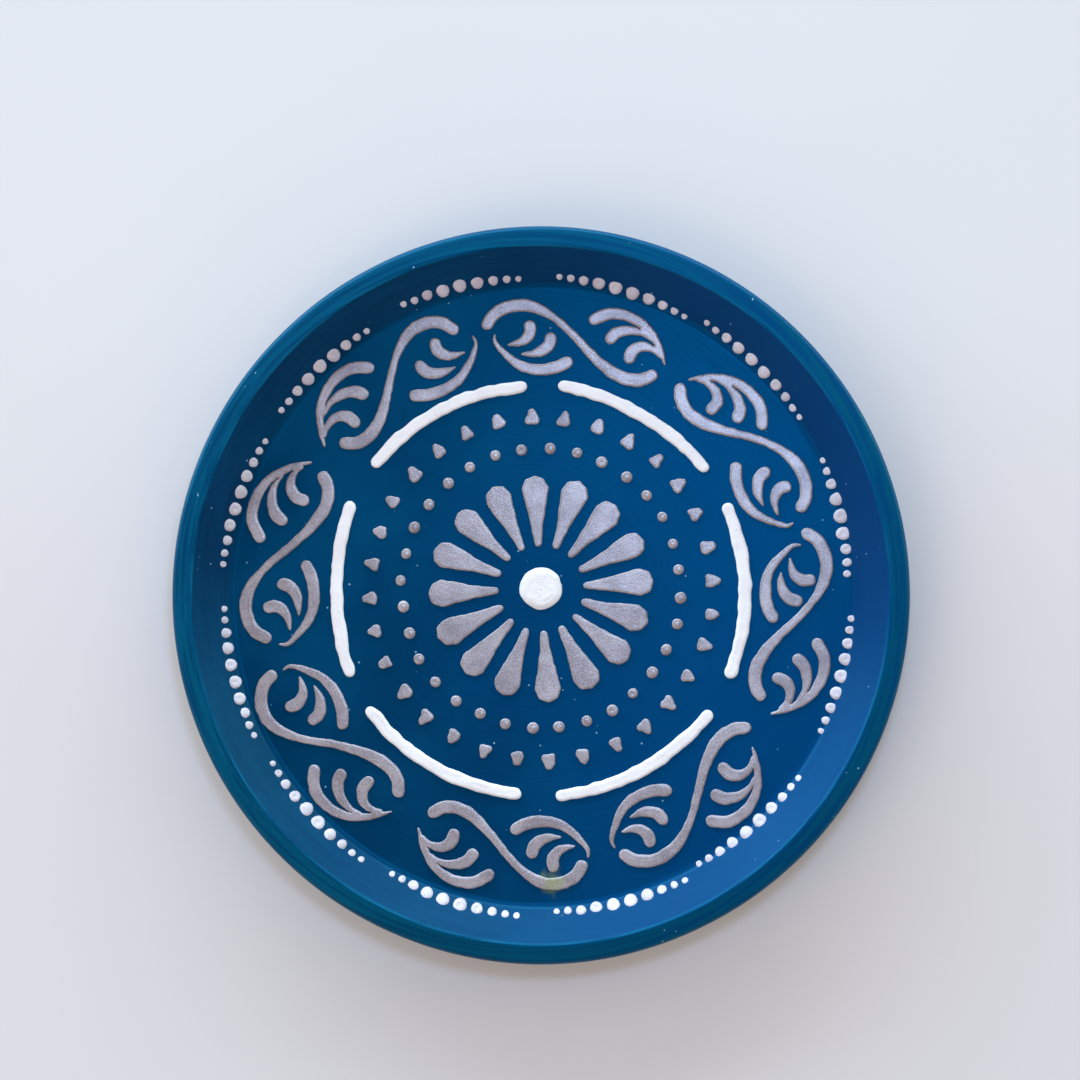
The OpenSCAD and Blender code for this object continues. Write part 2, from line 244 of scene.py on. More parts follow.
def run_tree(name, mesh, tree, values, nodes):
    """Runs a tree on a mesh and keeps what comes out as a plain piece."""
    piece = bpy.data.objects.new(name, mesh)
    bpy.context.scene.collection.objects.link(piece)
    modifier = piece.modifiers.new("make", "NODES")
    modifier.node_group = tree
    for socket in tree.interface.items_tree:
        if socket.in_out == "INPUT" and socket.name in values:
            modifier[socket.identifier] = values[socket.name]
    graph = bpy.context.evaluated_depsgraph_get()
    plain = bpy.data.meshes.new_from_object(
        piece.evaluated_get(graph), preserve_all_data_layers=True, depsgraph=graph
    )
    piece.modifiers.clear()
    piece.data = plain
    plain.name = name
    face_outwards(plain)
    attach(piece, "root")
    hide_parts(*nodes)
    return piece


def face_outwards(mesh):
    """Turns all faces of closed shapes outwards."""
    form = bmesh.new()
    form.from_mesh(mesh)
    bmesh.ops.recalc_face_normals(form, faces=form.faces)
    form.to_mesh(mesh)
    form.free()


def triangles(piece):
    """How many triangles a piece has."""
    return sum(len(face.vertices) - 2 for face in piece.data.polygons)


print("the wobble moves a point up or down by", wobble_height / MM, "mm at the most")

# %% [markdown]
# ## Finishes
# Three kinds of finish cover the plate: a brushed blue coat, relief paint, and bare clay at
# the foot. Painted pictures could carry them, but they blur when the camera comes near. These
# are worked out from noise, so they stay crisp at any distance. All of them read Object
# coordinates, which stay with the plate.


# %% Material helpers
def new_material(name):
    """A material with nothing in it but a shader and its output."""
    material = bpy.data.materials.new(name)
    material.use_nodes = True
    tree = material.node_tree
    return material, tree, tree.nodes["Principled BSDF"]


def object_place(tree):
    """Where a point lies on the plate."""
    return put(tree, "ShaderNodeTexCoord").outputs["Object"]


def mixed(tree, share, first, second):
    """A colour between two others."""
    feeds = {0: share, 6: first, 7: second}
    return put(tree, "ShaderNodeMix", feeds, data_type="RGBA").outputs[2]


def ramp(tree, value, low, high):
    """0 below low, 1 above high, and a smooth step between."""
    feeds = {"Value": value, "From Min": low, "From Max": high}
    node = put(tree, "ShaderNodeMapRange", feeds, interpolation_type="SMOOTHSTEP")
    return node.outputs[0]


def spread(tree, value, low, high):
    """A 0 to 1 value brought to a narrower range."""
    feeds = {"Value": value, "To Min": low, "To Max": high}
    return put(tree, "ShaderNodeMapRange", feeds).outputs[0]


def bump(tree, height, depth, before=None):
    """A fine relief of that depth in metres."""
    feeds = {"Height": height, "Distance": depth, "Strength": 1.0}
    if before:
        feeds["Normal"] = before
    return put(tree, "ShaderNodeBump", feeds).outputs[0]


def round_axis(tree, place, rings, waves):
    """Coordinates in which noise comes out as streaks that run round the axis."""
    parts = put(tree, "ShaderNodeSeparateXYZ", {0: place}).outputs
    flat = put(tree, "ShaderNodeCombineXYZ", {0: parts[0], 1: parts[1]}).outputs[0]
    radius = vector(tree, "LENGTH", flat)
    around = vector(tree, "SCALE", vector(tree, "NORMALIZE", flat))
    around.node.inputs["Scale"].default_value = waves
    across = put(tree, "ShaderNodeCombineXYZ", {
        0: calc(tree, "MULTIPLY", radius, rings), 2: calc(tree, "MULTIPLY", parts[2], rings)
    }).outputs[0]
    return vector(tree, "ADD", around, across), radius


# %% [markdown]
# ## The blue coat
# The coat is liquid colour, brushed on while the plate turned. Near the lip its colour runs
# in faint streaks round the axis, on the floor it is cloudy, and dust has left pale specks in
# it. A flat blue with a gloss would look like plastic. Here streaks and clouds of noise mix a
# thin shade with a thick one, and the same streaks raise the surface a little, so the gloss
# breaks where the colour does.

# %% Blue coat
lip_from = cad_high.x - 6.8 * MM
clouds_to = 100 * MM
streaks_from = 115 * MM
navy_from = 60 * MM
navy_full = 20 * MM
# painted light: where the coat starts and ends its drift to a brighter royal blue on the +X side
painted_light_from = -20 * MM
painted_light_full = 130 * MM
navy = (0.0004, 0.022, 0.095, 1)
scraped_teal = (0.001, 0.066, 0.13, 1)
# painted highlight: the brighter blue of a thin band along the crest
crest_highlight_blue = (0.01, 0.16, 0.3, 1)
speck_colour = (0.3, 0.48, 0.6, 1)
speck_share = 0.24
blue_gloss = (0, 0.52, 0.9, 1)
smear_place = (0.004, -0.098, cad_high.z / 2)
smear_colour = (0.3, 0.36, 0.06, 1)


def smeared(tree, place, colour):
    """A small yellowish smear that the painter left near the pattern's bottom."""
    away = vector(tree, "LENGTH", vector(tree, "SUBTRACT", place, smear_place))
    rough_edge = calc(tree, "MULTIPLY", noise(tree, place, scale=300, detail=2), 8 * MM)
    reach = ramp(tree, calc(tree, "ADD", away, rough_edge), 10 * MM, 5 * MM)
    return mixed(tree, calc(tree, "MULTIPLY", reach, 0.45), colour, smear_colour)


def blue_coat(name, thin, thick, painted_light_blue, streak_strength):
    """The brushed blue: thin where the brush pulled it off, thick where it lay.

    Towards +X the coat drifts from teal to a brighter royal blue: painted light, for the bluer light that
    falls on that side."""
    material, tree, shader = new_material(name)
    place = object_place(tree)
    along, radius = round_axis(tree, place, rings=900, waves=5)
    streaks = noise(tree, along, scale=1, detail=3, roughness=0.6)
    clouds = noise(tree, place, scale=28, detail=3)
    streaked = calc(tree, "MULTIPLY", ramp(tree, radius, clouds_to, streaks_from), streak_strength)
    cloudy = calc(tree, "SUBTRACT", 1, streaked)
    share = calc(tree, "ADD", calc(tree, "MULTIPLY", streaks, streaked),
                 calc(tree, "MULTIPLY", clouds, cloudy))
    blue = mixed(tree, ramp(tree, share, 0.32, 0.7), thick, thin)

    # Painted light: the coat turns a brighter, bluer royal towards +X, in place of bluer light falling on
    # that side.
    side = put(tree, "ShaderNodeSeparateXYZ", {0: place}).outputs[0]
    drift = calc(tree, "ADD", side, calc(tree, "MULTIPLY", noise(tree, place, scale=9, detail=2), 80 * MM))
    blue = mixed(tree, ramp(tree, drift, painted_light_from, painted_light_full), blue, painted_light_blue)
    rosette = calc(tree, "MULTIPLY", ramp(tree, radius, navy_from, navy_full), 0.6)
    blue = mixed(tree, rosette, blue, navy)

    scraped = spread(tree, ramp(tree, streaks, 0.35, 0.65), 0.15, 0.85)
    lip = calc(tree, "MULTIPLY", ramp(tree, radius, lip_from - MM, lip_from + MM), scraped)
    blue = mixed(tree, lip, blue, scraped_teal)
    # Painted highlight: a thin band of brighter blue along the crest, broken by the streaks, where the edge
    # catches the light.
    off_crest = calc(tree, "ABSOLUTE", calc(tree, "SUBTRACT", radius, lip_from))
    crest_glint_streaks = calc(tree, "MULTIPLY", ramp(tree, streaks, 0.35, 0.6), 0.5)
    crest = calc(tree, "MULTIPLY", ramp(tree, off_crest, 0.5 * MM, 0), crest_glint_streaks)
    blue = smeared(tree, place, mixed(tree, crest, blue, crest_highlight_blue))

    cells = put(tree, "ShaderNodeTexVoronoi", {"Vector": place, "Scale": 260})
    picks = put(tree, "ShaderNodeSeparateColor", {0: cells.outputs["Color"]}).outputs
    speck_size = spread(tree, picks[1], 0.025, 0.1)
    near = calc(tree, "LESS_THAN", cells.outputs["Distance"], speck_size)
    speck = calc(tree, "MULTIPLY", near, calc(tree, "GREATER_THAN", picks[0], 1 - speck_share))
    specked = mixed(tree, calc(tree, "MULTIPLY", speck, 0.7), blue, speck_colour)
    tree.links.new(specked, shader.inputs["Base Color"])
    shader.inputs["Specular Tint"].default_value = blue_gloss

    satin = spread(tree, noise(tree, along, scale=1.4, detail=3, roughness=0.6), 0.3, 0.46)
    tree.links.new(satin, shader.inputs["Roughness"])
    brushed = bump(tree, streaks, 0.05 * MM)
    grain = bump(tree, noise(tree, place, scale=1500, detail=2), 0.012 * MM, brushed)
    tree.links.new(bump(tree, speck, 0.05 * MM, grain), shader.inputs["Normal"])
    print(name, "has", len(tree.nodes), "nodes")
    return material


face_blue = blue_coat("brushed_face_blue", thin=(0.0008, 0.039, 0.11, 1), thick=(0.0003, 0.02, 0.07, 1),
                      painted_light_blue=(0.0005, 0.033, 0.13, 1), streak_strength=0.6)
back_blue = blue_coat("brushed_back_blue", thin=(0.001, 0.05, 0.135, 1), thick=(0.0004, 0.026, 0.085, 1),
                      painted_light_blue=(0.0005, 0.04, 0.15, 1), streak_strength=0.7)

# %% [markdown]
# ## The relief paint
# The pattern's paint is thick and dries with a soft shine: pearly beige on the strokes, plain
# white on the arcs and the centre dot, and a paler beige on the drops of the wall. One colour
# for each would do from far off. Close up, such paint is grainy, cloudy where it was stirred
# badly, and pitted by air bubbles, so one function makes all three with those in it. A little
# metal in the shader stands for the pearl powder.


# %% Relief paint
# painted shade: the dark grey mixed into the bubble pits
pit_shade_colour = (0.12, 0.1, 0.12, 1)


def relief_paint(name, light, dark, shine, smooth, rough, pit_share):
    """Thick paint with brush grain, clouds and pits, the pits darkened with painted shade."""
    material, tree, shader = new_material(name)
    place = object_place(tree)
    grain = noise(tree, place, scale=2200, detail=3, roughness=0.7)
    clouds = noise(tree, place, scale=110, detail=3)
    share = calc(tree, "ADD", calc(tree, "MULTIPLY", grain, 0.6), calc(tree, "MULTIPLY", clouds, 0.4))
    colour = smeared(tree, place, mixed(tree, ramp(tree, share, 0.38, 0.62), dark, light))

    cells = put(tree, "ShaderNodeTexVoronoi", {"Vector": place, "Scale": 420})
    near = ramp(tree, cells.outputs["Distance"], 0.12, 0.05)
    pick = put(tree, "ShaderNodeSeparateColor", {0: cells.outputs["Color"]}).outputs[0]
    pit = calc(tree, "MULTIPLY", near, ramp(tree, pick, 1 - pit_share, 1.02 - pit_share))
    # Painted shade: the pits are darkened towards grey, as shade falls in them.
    pitted = mixed(tree, calc(tree, "MULTIPLY", pit, 0.5), colour, pit_shade_colour)
    tree.links.new(pitted, shader.inputs["Base Color"])

    shader.inputs["Metallic"].default_value = shine
    tree.links.new(spread(tree, grain, smooth, rough), shader.inputs["Roughness"])
    fine = bump(tree, grain, 0.05 * MM)
    not_pit = calc(tree, "SUBTRACT", 1, pit)
    tree.links.new(bump(tree, not_pit, 0.08 * MM, fine), shader.inputs["Normal"])
    print(name, "has", len(tree.nodes), "nodes")
    return material


pearl_paint = relief_paint("pearl_relief", light=(0.46, 0.4, 0.42, 1), dark=(0.25, 0.21, 0.23, 1),
                           shine=0.35, smooth=0.24, rough=0.36, pit_share=0.06)
white_paint = relief_paint("white_relief", light=(0.92, 0.88, 0.87, 1), dark=(0.83, 0.77, 0.77, 1),
                           shine=0, smooth=0.35, rough=0.55, pit_share=0.12)
dot_paint = relief_paint("dot_relief", light=(0.74, 0.67, 0.73, 1), dark=(0.52, 0.46, 0.51, 1),
                         shine=0.1, smooth=0.42, rough=0.6, pit_share=0.04)

# %% [markdown]
# ## Bare clay and the floor
# The foot is left bare, as a foot that stands in the kiln often is. It is warm, dry and sandy,
# with the rings of the turning tool. The floor is a plain matt board. It could be one colour,
# but very faint clouds keep it from looking like empty paper.


# %% Bare clay and the floor
light_clay = (0.6, 0.38, 0.25, 1)
dark_clay = (0.42, 0.24, 0.15, 1)
floor_colours = ((0.71, 0.66, 0.65, 1), (0.75, 0.7, 0.69, 1))
floor_roughness = 0.7


def bare_clay():
    """Fired clay with no coat."""
    material, tree, shader = new_material("fired_clay")
    place = object_place(tree)
    along, _ = round_axis(tree, place, rings=1400, waves=3)
    rings = noise(tree, along, scale=1, detail=2)
    sand = noise(tree, place, scale=900, detail=4, roughness=0.7)
    share = calc(tree, "ADD", calc(tree, "MULTIPLY", rings, 0.4), calc(tree, "MULTIPLY", sand, 0.6))
    colour = mixed(tree, ramp(tree, share, 0.3, 0.7), dark_clay, light_clay)
    tree.links.new(colour, shader.inputs["Base Color"])
    tree.links.new(spread(tree, sand, 0.75, 0.95), shader.inputs["Roughness"])
    turned_rings = bump(tree, rings, 0.1 * MM)
    tree.links.new(bump(tree, sand, 0.1 * MM, turned_rings), shader.inputs["Normal"])
    return material


def floor_finish():
    """A matt board with very faint clouds."""
    material, tree, shader = new_material("floor_finish")
    clouds = noise(tree, object_place(tree), scale=6, detail=3)
    tree.links.new(mixed(tree, clouds, *floor_colours), shader.inputs["Base Color"])
    shader.inputs["Roughness"].default_value = floor_roughness
    return material


clay = bare_clay()
floor_mesh.materials.append(floor_finish())
print("materials:", [material.name for material in bpy.data.materials])

# %% [markdown]
# ## Clay and coats
# The dish was shaped on a wheel, and its two coats follow it, so each of the three is one
# outline carried round a circle. The design's own mesh could be used, but its long thin
# triangles can't bend. So the outline is cut out of the design and turned again: a plane
# through the axis slices the node, and the cut edges are walked into a line.


# %% Outline of a turned node
same_place = 0.001 * MM


def merged(node):
    """A copy of a design node's mesh, with its loose triangles joined."""
    form = bmesh.new()
    form.from_mesh(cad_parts[node].data)
    bmesh.ops.remove_doubles(form, verts=form.verts, dist=same_place)
    return form


def walk(links):
    """The points in order, from a dictionary of neighbours, and whether the line is closed."""
    ends = [point for point, near in links.items() if len(near) == 1]
    chain = [ends[0] if ends else next(iter(links))]
    while True:
        ahead = [point for point in links[chain[-1]] if point not in chain]
        if not ahead:
            return chain, not ends
        chain.append(ahead[0])


def section_of(node):
    """The outline of a turned node on one side of the axis, as (radius, height) points."""
    form = merged(node)
    for side in ((0, 1, 0), (1, 0, 0)):
        whole = form.verts[:] + form.edges[:] + form.faces[:]
        bmesh.ops.bisect_plane(form, geom=whole, dist=same_place / 2, plane_co=(0, 0, 0), plane_no=side)
    links = {}
    for edge in form.edges:
        a, b = (vert.co for vert in edge.verts)
        on_cut = max(abs(a.y), abs(b.y)) < same_place
        on_axis = max(a.x, b.x) < same_place
        if on_cut and not on_axis and min(a.x, b.x) > -same_place:
            ends = [(round(p.x / MM, 3), round(p.z / MM, 3)) for p in (a, b)]
            links.setdefault(ends[0], set()).add(ends[1])
            links.setdefault(ends[1], set()).add(ends[0])
    form.free()
    chain, closed = walk(links)
    return [Vector(point) * MM for point in chain], closed


def evened(line, closed, fine_from, fine, coarse):
    """The same line with more points: a fine step past the radius fine_from, a coarse one before."""
    stretch = line + [line[0]] if closed else line
    points = []
    for a, b in zip(stretch, stretch[1:]):
        step = fine if max(a.x, b.x) > fine_from else coarse
        count = max(1, math.ceil((b - a).length / step))
        points += [a.lerp(b, i / count) for i in range(count)]
    return points + [stretch[-1]]


# %% [markdown]
# ## The wheel
# A Screw modifier could turn the outlines as well. A Geometry Nodes tree was chosen because
# the brush ridges on the lip can be made in the same place. It lays a grid whose rows are the
# outline's points and whose columns are steps round the axis, bends it into place, and closes
# its seam. Then come the wobble and the ridges.


# %% Tree that turns an outline
ridge_rings = 1100


def turning_tree():
    """The wheel: turns an outline into a closed shape."""
    sockets = {"Columns": "Int", "Ridge height": "Float", "Ridges from": "Float", "Material": "Material"}
    tree, given = new_tree("turned on the wheel", sockets)
    count = put(tree, "GeometryNodeAttributeDomainSize", {"Geometry": given["Geometry"]}).outputs[0]
    lines = calc(tree, "ADD", given["Columns"], 1)
    feeds = {"Size X": 1, "Size Y": 1, "Vertices X": count, "Vertices Y": lines}
    grid = put(tree, "GeometryNodeMeshGrid", feeds).outputs["Mesh"]
    index = put(tree, "GeometryNodeInputIndex").outputs[0]
    row = put(tree, "FunctionNodeIntegerMath", {0: index, 1: lines}, operation="DIVIDE_FLOOR").outputs[0]
    column = put(tree, "FunctionNodeIntegerMath", {0: index, 1: lines}, operation="MODULO").outputs[0]

    outline_place = put(tree, "GeometryNodeInputPosition").outputs[0]
    feeds = {"Geometry": given["Geometry"], "Value": outline_place, "Index": row}
    sample = put(tree, "GeometryNodeSampleIndex", feeds, data_type="FLOAT_VECTOR").outputs["Value"]
    parts = put(tree, "ShaderNodeSeparateXYZ", {0: sample}).outputs
    angle = calc(tree, "MULTIPLY", calc(tree, "DIVIDE", column, given["Columns"]), 2 * math.pi)
    place = put(tree, "ShaderNodeCombineXYZ", {
        0: calc(tree, "MULTIPLY", parts[0], calc(tree, "COSINE", angle)),
        1: calc(tree, "MULTIPLY", parts[0], calc(tree, "SINE", angle)),
        2: parts[2],
    }).outputs[0]
    bent = put(tree, "GeometryNodeSetPosition", {"Geometry": grid, "Position": place}).outputs[0]
    feeds = {"Geometry": bent, "Distance": 2 * same_place}
    closed = put(tree, "GeometryNodeMergeByDistance", feeds).outputs[0]

    here = put(tree, "GeometryNodeInputPosition").outputs[0]
    shape = wobbled(tree, closed, here)
    along, radius = round_axis(tree, here, rings=ridge_rings, waves=3)
    ridges = calc(tree, "SUBTRACT", noise(tree, along, scale=1, detail=2), 0.5)
    lift = calc(tree, "MULTIPLY", ridges, given["Ridge height"])
    lift = calc(tree, "MULTIPLY", lift, calc(tree, "GREATER_THAN", radius, given["Ridges from"]))
    push = vector(tree, "SCALE", put(tree, "GeometryNodeInputNormal").outputs[0])
    tree.links.new(lift, push.node.inputs["Scale"])
    ridged = put(tree, "GeometryNodeSetPosition", {"Geometry": shape, "Offset": push}).outputs[0]
    finish_tree(tree, ridged, given["Material"])
    return tree


wheel = turning_tree()

# %% Turn the clay and the coats
turned_columns = 400
wall_from = 0.8 * cad_high.x
face_ridge = 0.12 * MM

for node, material, slot, ridge in (
    ("clay_body", clay, "bare_clay", 0),
    ("face_coat", face_blue, "blue_face_coat", face_ridge),
    ("back_coat", back_blue, "blue_back_coat", 0),
):
    line, closed = section_of(node)
    line = evened(line, closed, wall_from, fine=0.7 * MM, coarse=5 * MM)
    outline = bpy.data.meshes.new(node + "_outline")
    outline.from_pydata([(p.x, 0, p.y) for p in line], [], [])
    values = {"Columns": turned_columns, "Ridge height": ridge, "Ridges from": lip_from,
              "Material": material}
    piece = run_tree("turned_" + node, outline, wheel, values, [node])
    print(piece.name, len(line), "outline points,", triangles(piece), "triangles")

# %% [markdown]
# ## Brushed strokes
# A petal, an arc, a scroll or a leaf is one pull of a loaded brush: a raised bead with a
# rounded shoulder, a nearly flat top with the marks of the bristles, and an edge that isn't
# quite clean. The design has each stroke as a flat slab. A bevel on the slab would give the
# shoulder, but it fails on thin tips and leaves nothing to carry the marks. So the slab's
# outline is read and softened here, filled with small triangles in the next step, and raised
# in the one after it.


# %% Outlines of a slab's top
level_top = 0.01 * MM
faces_up = 0.9
outline_step = 0.36
easing_passes = 3
fewest_points = 12


def top_outlines(node):
    """Closed outlines of a node's top faces, as lists of flat points in millimetres."""
    form = merged(node)
    top = max(vert.co.z for vert in form.verts) - level_top
    up = {face for face in form.faces if face.normal.z > faces_up and face.calc_center_median().z > top}
    border = [edge for edge in form.edges if len(up.intersection(edge.link_faces)) == 1]
    near = {}
    for edge in border:
        a, b = edge.verts
        near.setdefault(a, []).append(b)
        near.setdefault(b, []).append(a)
    loops = []
    while near:
        start = next(iter(near))
        loop, here = [start], near[start].pop()
        near[here].remove(start)
        while here is not start:
            loop.append(here)
            ahead = near[here].pop()
            near[ahead].remove(here)
            here = ahead
        near = {vert: left for vert, left in near.items() if left}
        loops.append(np.array([vert.co.xy for vert in loop]) / MM)
    form.free()
    return loops


def softened(loop, ragged, wave, dice):
    """A loop with evenly spaced points, its corners eased and its edge a little ragged.

    Ragged is how far the edge strays, in millimetres, and a higher wave makes it stray slower."""
    closed = np.vstack([loop, loop[:1]])
    run = np.concatenate([[0], np.cumsum(np.linalg.norm(np.diff(closed, axis=0), axis=1))])
    count = max(fewest_points, int(run[-1] / outline_step))
    even = np.linspace(0, run[-1], count, endpoint=False)
    points = np.column_stack([np.interp(even, run, closed[:, i]) for i in (0, 1)])
    rough = dice.normal(size=count)
    for _ in range(easing_passes):
        points = (np.roll(points, 1, 0) + 2 * points + np.roll(points, -1, 0)) / 4
    for _ in range(wave):
        rough = (np.roll(rough, 1) + 2 * rough + np.roll(rough, -1)) / 4
    return points + outward(points) * (ragged * rough / rough.std())[:, None]


def outward(points):
    """Unit vectors across a loop, to its right."""
    ahead = np.roll(points, -1, 0) - np.roll(points, 1, 0)
    ahead /= np.linalg.norm(ahead, axis=1)[:, None]
    return np.column_stack([ahead[:, 1], -ahead[:, 0]])


# %% [markdown]
# ## Filling an outline
# Blender can fill an outline by itself, but with long slivers that can't be raised smoothly.
# Here the fill gets its own points: two rows that follow the edge, where the shoulder bends
# most, and an even grid within them. Blender's Delaunay function joins them all into triangles
# as nearly equal as can be.


# %% Fill an outline with small triangles
edge_rows = (0.14, 0.38)
row_spread = 0.93
grid_from_edge = 0.62
row_height = math.sqrt(0.75)
tiny = 1e-5


def inside(points, loops):
    """Which points lie within the loops, by counting the edges crossed on the way out."""
    hits = np.zeros(len(points), int)
    for loop in loops:
        a, b = loop, np.roll(loop, -1, 0)
        for (ax, ay), (bx, by) in zip(a, b):
            if ay != by:
                spans = (points[:, 1] >= min(ay, by)) & (points[:, 1] < max(ay, by))
                cross = ax + (points[:, 1] - ay) * (bx - ax) / (by - ay)
                hits += spans & (cross > points[:, 0])
    return hits % 2 == 1


def distance_to(points, loops):
    """Each point's distance to the loops: to the two edges at the loop point nearest to it."""
    corners = np.vstack(loops)
    tree = kdtree.KDTree(len(corners))
    for i, (x, y) in enumerate(corners):
        tree.insert((x, y, 0), i)
    tree.balance()
    near = np.array([tree.find((x, y, 0))[1] for x, y in points])
    best = np.full(len(points), np.inf)
    for way in (1, -1):
        side = np.vstack([np.roll(loop, way, 0) - loop for loop in loops])[near]
        away = points - corners[near]
        share = np.clip((away * side).sum(1) / (side * side).sum(1), 0, 1)
        best = np.minimum(best, np.linalg.norm(away - share[:, None] * side, axis=1))
    return best


def filled(name, loops, spacing, height):
    """A flat mesh of small triangles inside the loops. Loops and spacing are in millimetres."""
    rows = []
    for inset in edge_rows:
        for loop in loops:
            line = outward(loop)
            moved = np.vstack([loop + line * inset, loop - line * inset])
            rows.append(moved[distance_to(moved, loops) > row_spread * inset])
    low, high = np.vstack(loops).min(0), np.vstack(loops).max(0)
    xs = np.arange(low[0], high[0], spacing)
    ys = np.arange(low[1], high[1], spacing * row_height)
    grid = np.array([(x + (j % 2) * spacing / 2, y) for j, y in enumerate(ys) for x in xs])
    rows.append(grid[distance_to(grid, loops) > grid_from_edge])
    extra = np.vstack(rows)
    extra = extra[inside(extra, loops)]
    points = np.vstack(loops + [extra])
    edges, start = [], 0
    for loop in loops:
        edges += [(start + i, start + (i + 1) % len(loop)) for i in range(len(loop))]
        start += len(loop)
    verts, _, faces, *_ = geometry.delaunay_2d_cdt([Vector(p) for p in points], edges, [], 0, tiny)
    flat = np.array([v[:] for v in verts])
    middles = flat[np.array(faces)].mean(1)
    faces = [face for face, kept in zip(faces, inside(middles, loops)) if kept]
    mesh = bpy.data.meshes.new(name)
    mesh.from_pydata([(x * MM, y * MM, height) for x, y in flat], [], faces)
    return mesh


# %% [markdown]
# ## Raising the paint
# Sculpting each bead would take days and never repeat. This tree does it by measuring: it
# finds how far every point is from the outline, and lifts it to the height that a rounded
# shoulder has there. Noise that follows that same distance makes the bristle marks run along
# the stroke. A short upright edge under the shoulder keeps thin tips from vanishing, and the
# paint's underside sinks a little into the coat.


# %% Tree that lays the paint
drift_per_metre = 150
faces_beside_rim = 1


def paint_tree():
    """Lays a bead of paint on a flat fill."""
    sockets = {
        "Bead height": "Float", "Edge height": "Float", "Shoulder": "Float", "Sink": "Float",
        "Bristle height": "Float", "Bristle gap": "Float", "Lump height": "Float",
        "Lumps per metre": "Float", "Material": "Material",
    }
    tree, given = new_tree("laid paint", sockets)
    neighbours = put(tree, "GeometryNodeInputMeshEdgeNeighbors").outputs[0]
    on_rim = calc(tree, "LESS_THAN", neighbours, faces_beside_rim + 0.5)
    feeds = {"Geometry": given["Geometry"], "Selection": on_rim}
    outline = put(tree, "GeometryNodeSeparateGeometry", feeds, domain="EDGE").outputs[0]
    near = put(tree, "GeometryNodeProximity", target_element="EDGES")
    tree.links.new(outline, near.inputs[0])
    feeds = {"Geometry": given["Geometry"], "Name": "edge_gap", "Value": near.outputs["Distance"]}
    flat = put(tree, "GeometryNodeStoreNamedAttribute", feeds, data_type="FLOAT", domain="POINT").outputs[0]

    gap = put(tree, "GeometryNodeInputNamedAttribute", {0: "edge_gap"}, data_type="FLOAT").outputs[0]
    here = put(tree, "GeometryNodeInputPosition").outputs[0]
    left = calc(tree, "SUBTRACT", 1, calc(tree, "DIVIDE", gap, given["Shoulder"], clamp=True))
    bead = calc(tree, "SQRT", calc(tree, "SUBTRACT", 1, calc(tree, "MULTIPLY", left, left)))
    across = put(tree, "ShaderNodeCombineXYZ", {2: calc(tree, "DIVIDE", gap, given["Bristle gap"])})
    slow = vector(tree, "MULTIPLY", here, [drift_per_metre] * 3)
    drift = vector(tree, "ADD", slow, across.outputs[0])
    bristles = calc(tree, "SUBTRACT", noise(tree, drift, scale=1, detail=2, roughness=0.6), 0.5)
    lumps = calc(tree, "SUBTRACT", noise(tree, here, given["Lumps per metre"], detail=3, roughness=0.6), 0.5)
    marks = calc(tree, "ADD", calc(tree, "MULTIPLY", bristles, given["Bristle height"]),
                 calc(tree, "MULTIPLY", lumps, given["Lump height"]))
    rest = calc(tree, "SUBTRACT", given["Bead height"], given["Edge height"])
    lift = calc(tree, "MULTIPLY", bead, calc(tree, "ADD", rest, marks))

    sunk = put(tree, "ShaderNodeCombineXYZ", {2: calc(tree, "MULTIPLY", given["Sink"], -1)}).outputs[0]
    base = put(tree, "GeometryNodeSetPosition", {"Geometry": flat, "Offset": sunk}).outputs[0]
    wall = put(tree, "ShaderNodeCombineXYZ", {2: calc(tree, "ADD", given["Sink"], given["Edge height"])})
    feeds = {"Mesh": base, "Offset": wall.outputs[0], "Offset Scale": 1.0, "Individual": False}
    raised = put(tree, "GeometryNodeExtrudeMesh", feeds)
    rise = put(tree, "ShaderNodeCombineXYZ", {2: lift}).outputs[0]
    feeds = {"Geometry": raised.outputs["Mesh"], "Selection": raised.outputs["Top"], "Offset": rise}
    top = put(tree, "GeometryNodeSetPosition", feeds).outputs[0]
    under = put(tree, "GeometryNodeFlipFaces", {0: base}).outputs[0]
    both = tree.nodes.new("GeometryNodeJoinGeometry")
    tree.links.new(under, both.inputs[0])
    tree.links.new(top, both.inputs[0])
    feeds = {"Geometry": both.outputs[0], "Distance": 2 * same_place}
    closed = put(tree, "GeometryNodeMergeByDistance", feeds).outputs[0]
    finish_tree(tree, wobbled(tree, closed, here), given["Material"])
    return tree


laid = paint_tree()

# %% [markdown]
# ## Laying the strokes
# Each kind of stroke has its own bead: how high it stands, how wide its shoulder is, how deep
# the bristle marks and the lumps are, and how far its edge strays. The white arcs are the
# thickest and the lumpiest. One set of values for all would be shorter, but the eye tells the
# white paint from the pearl by its thickness as well. The heights and widths here are in
# millimetres.

# %% How each kind of stroke is laid
paint_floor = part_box("petal_1")[0].z
grid_spacing = 0.46
bristle_gap = 0.45 * MM
edge_height = 0.12 * MM
sink = 0.12 * MM
pearl = {"paint": pearl_paint, "slot": "pearl_paint", "lumps a metre": 420, "height": 0.65, "shoulder": 0.5}
white = {"paint": white_paint, "slot": "white_paint"}
BEADS = {
    "petal_": {**pearl, "bristles": 0.12, "lumps": 0.04, "ragged": 0.07, "wave": 8},
    "ring_triangles": {**pearl, "height": 0.6, "bristles": 0.08, "lumps": 0.08, "ragged": 0.12, "wave": 6},
    "white_arc_": {**white, "lumps a metre": 180, "height": 0.9, "shoulder": 0.8,
                   "bristles": 0.25, "lumps": 0.35, "ragged": 0.14, "wave": 20},
    "scroll_": {**pearl, "bristles": 0.14, "lumps": 0.05, "ragged": 0.07, "wave": 8},
    "leaves_": {**pearl, "bristles": 0.14, "lumps": 0.05, "ragged": 0.06, "wave": 8},
}


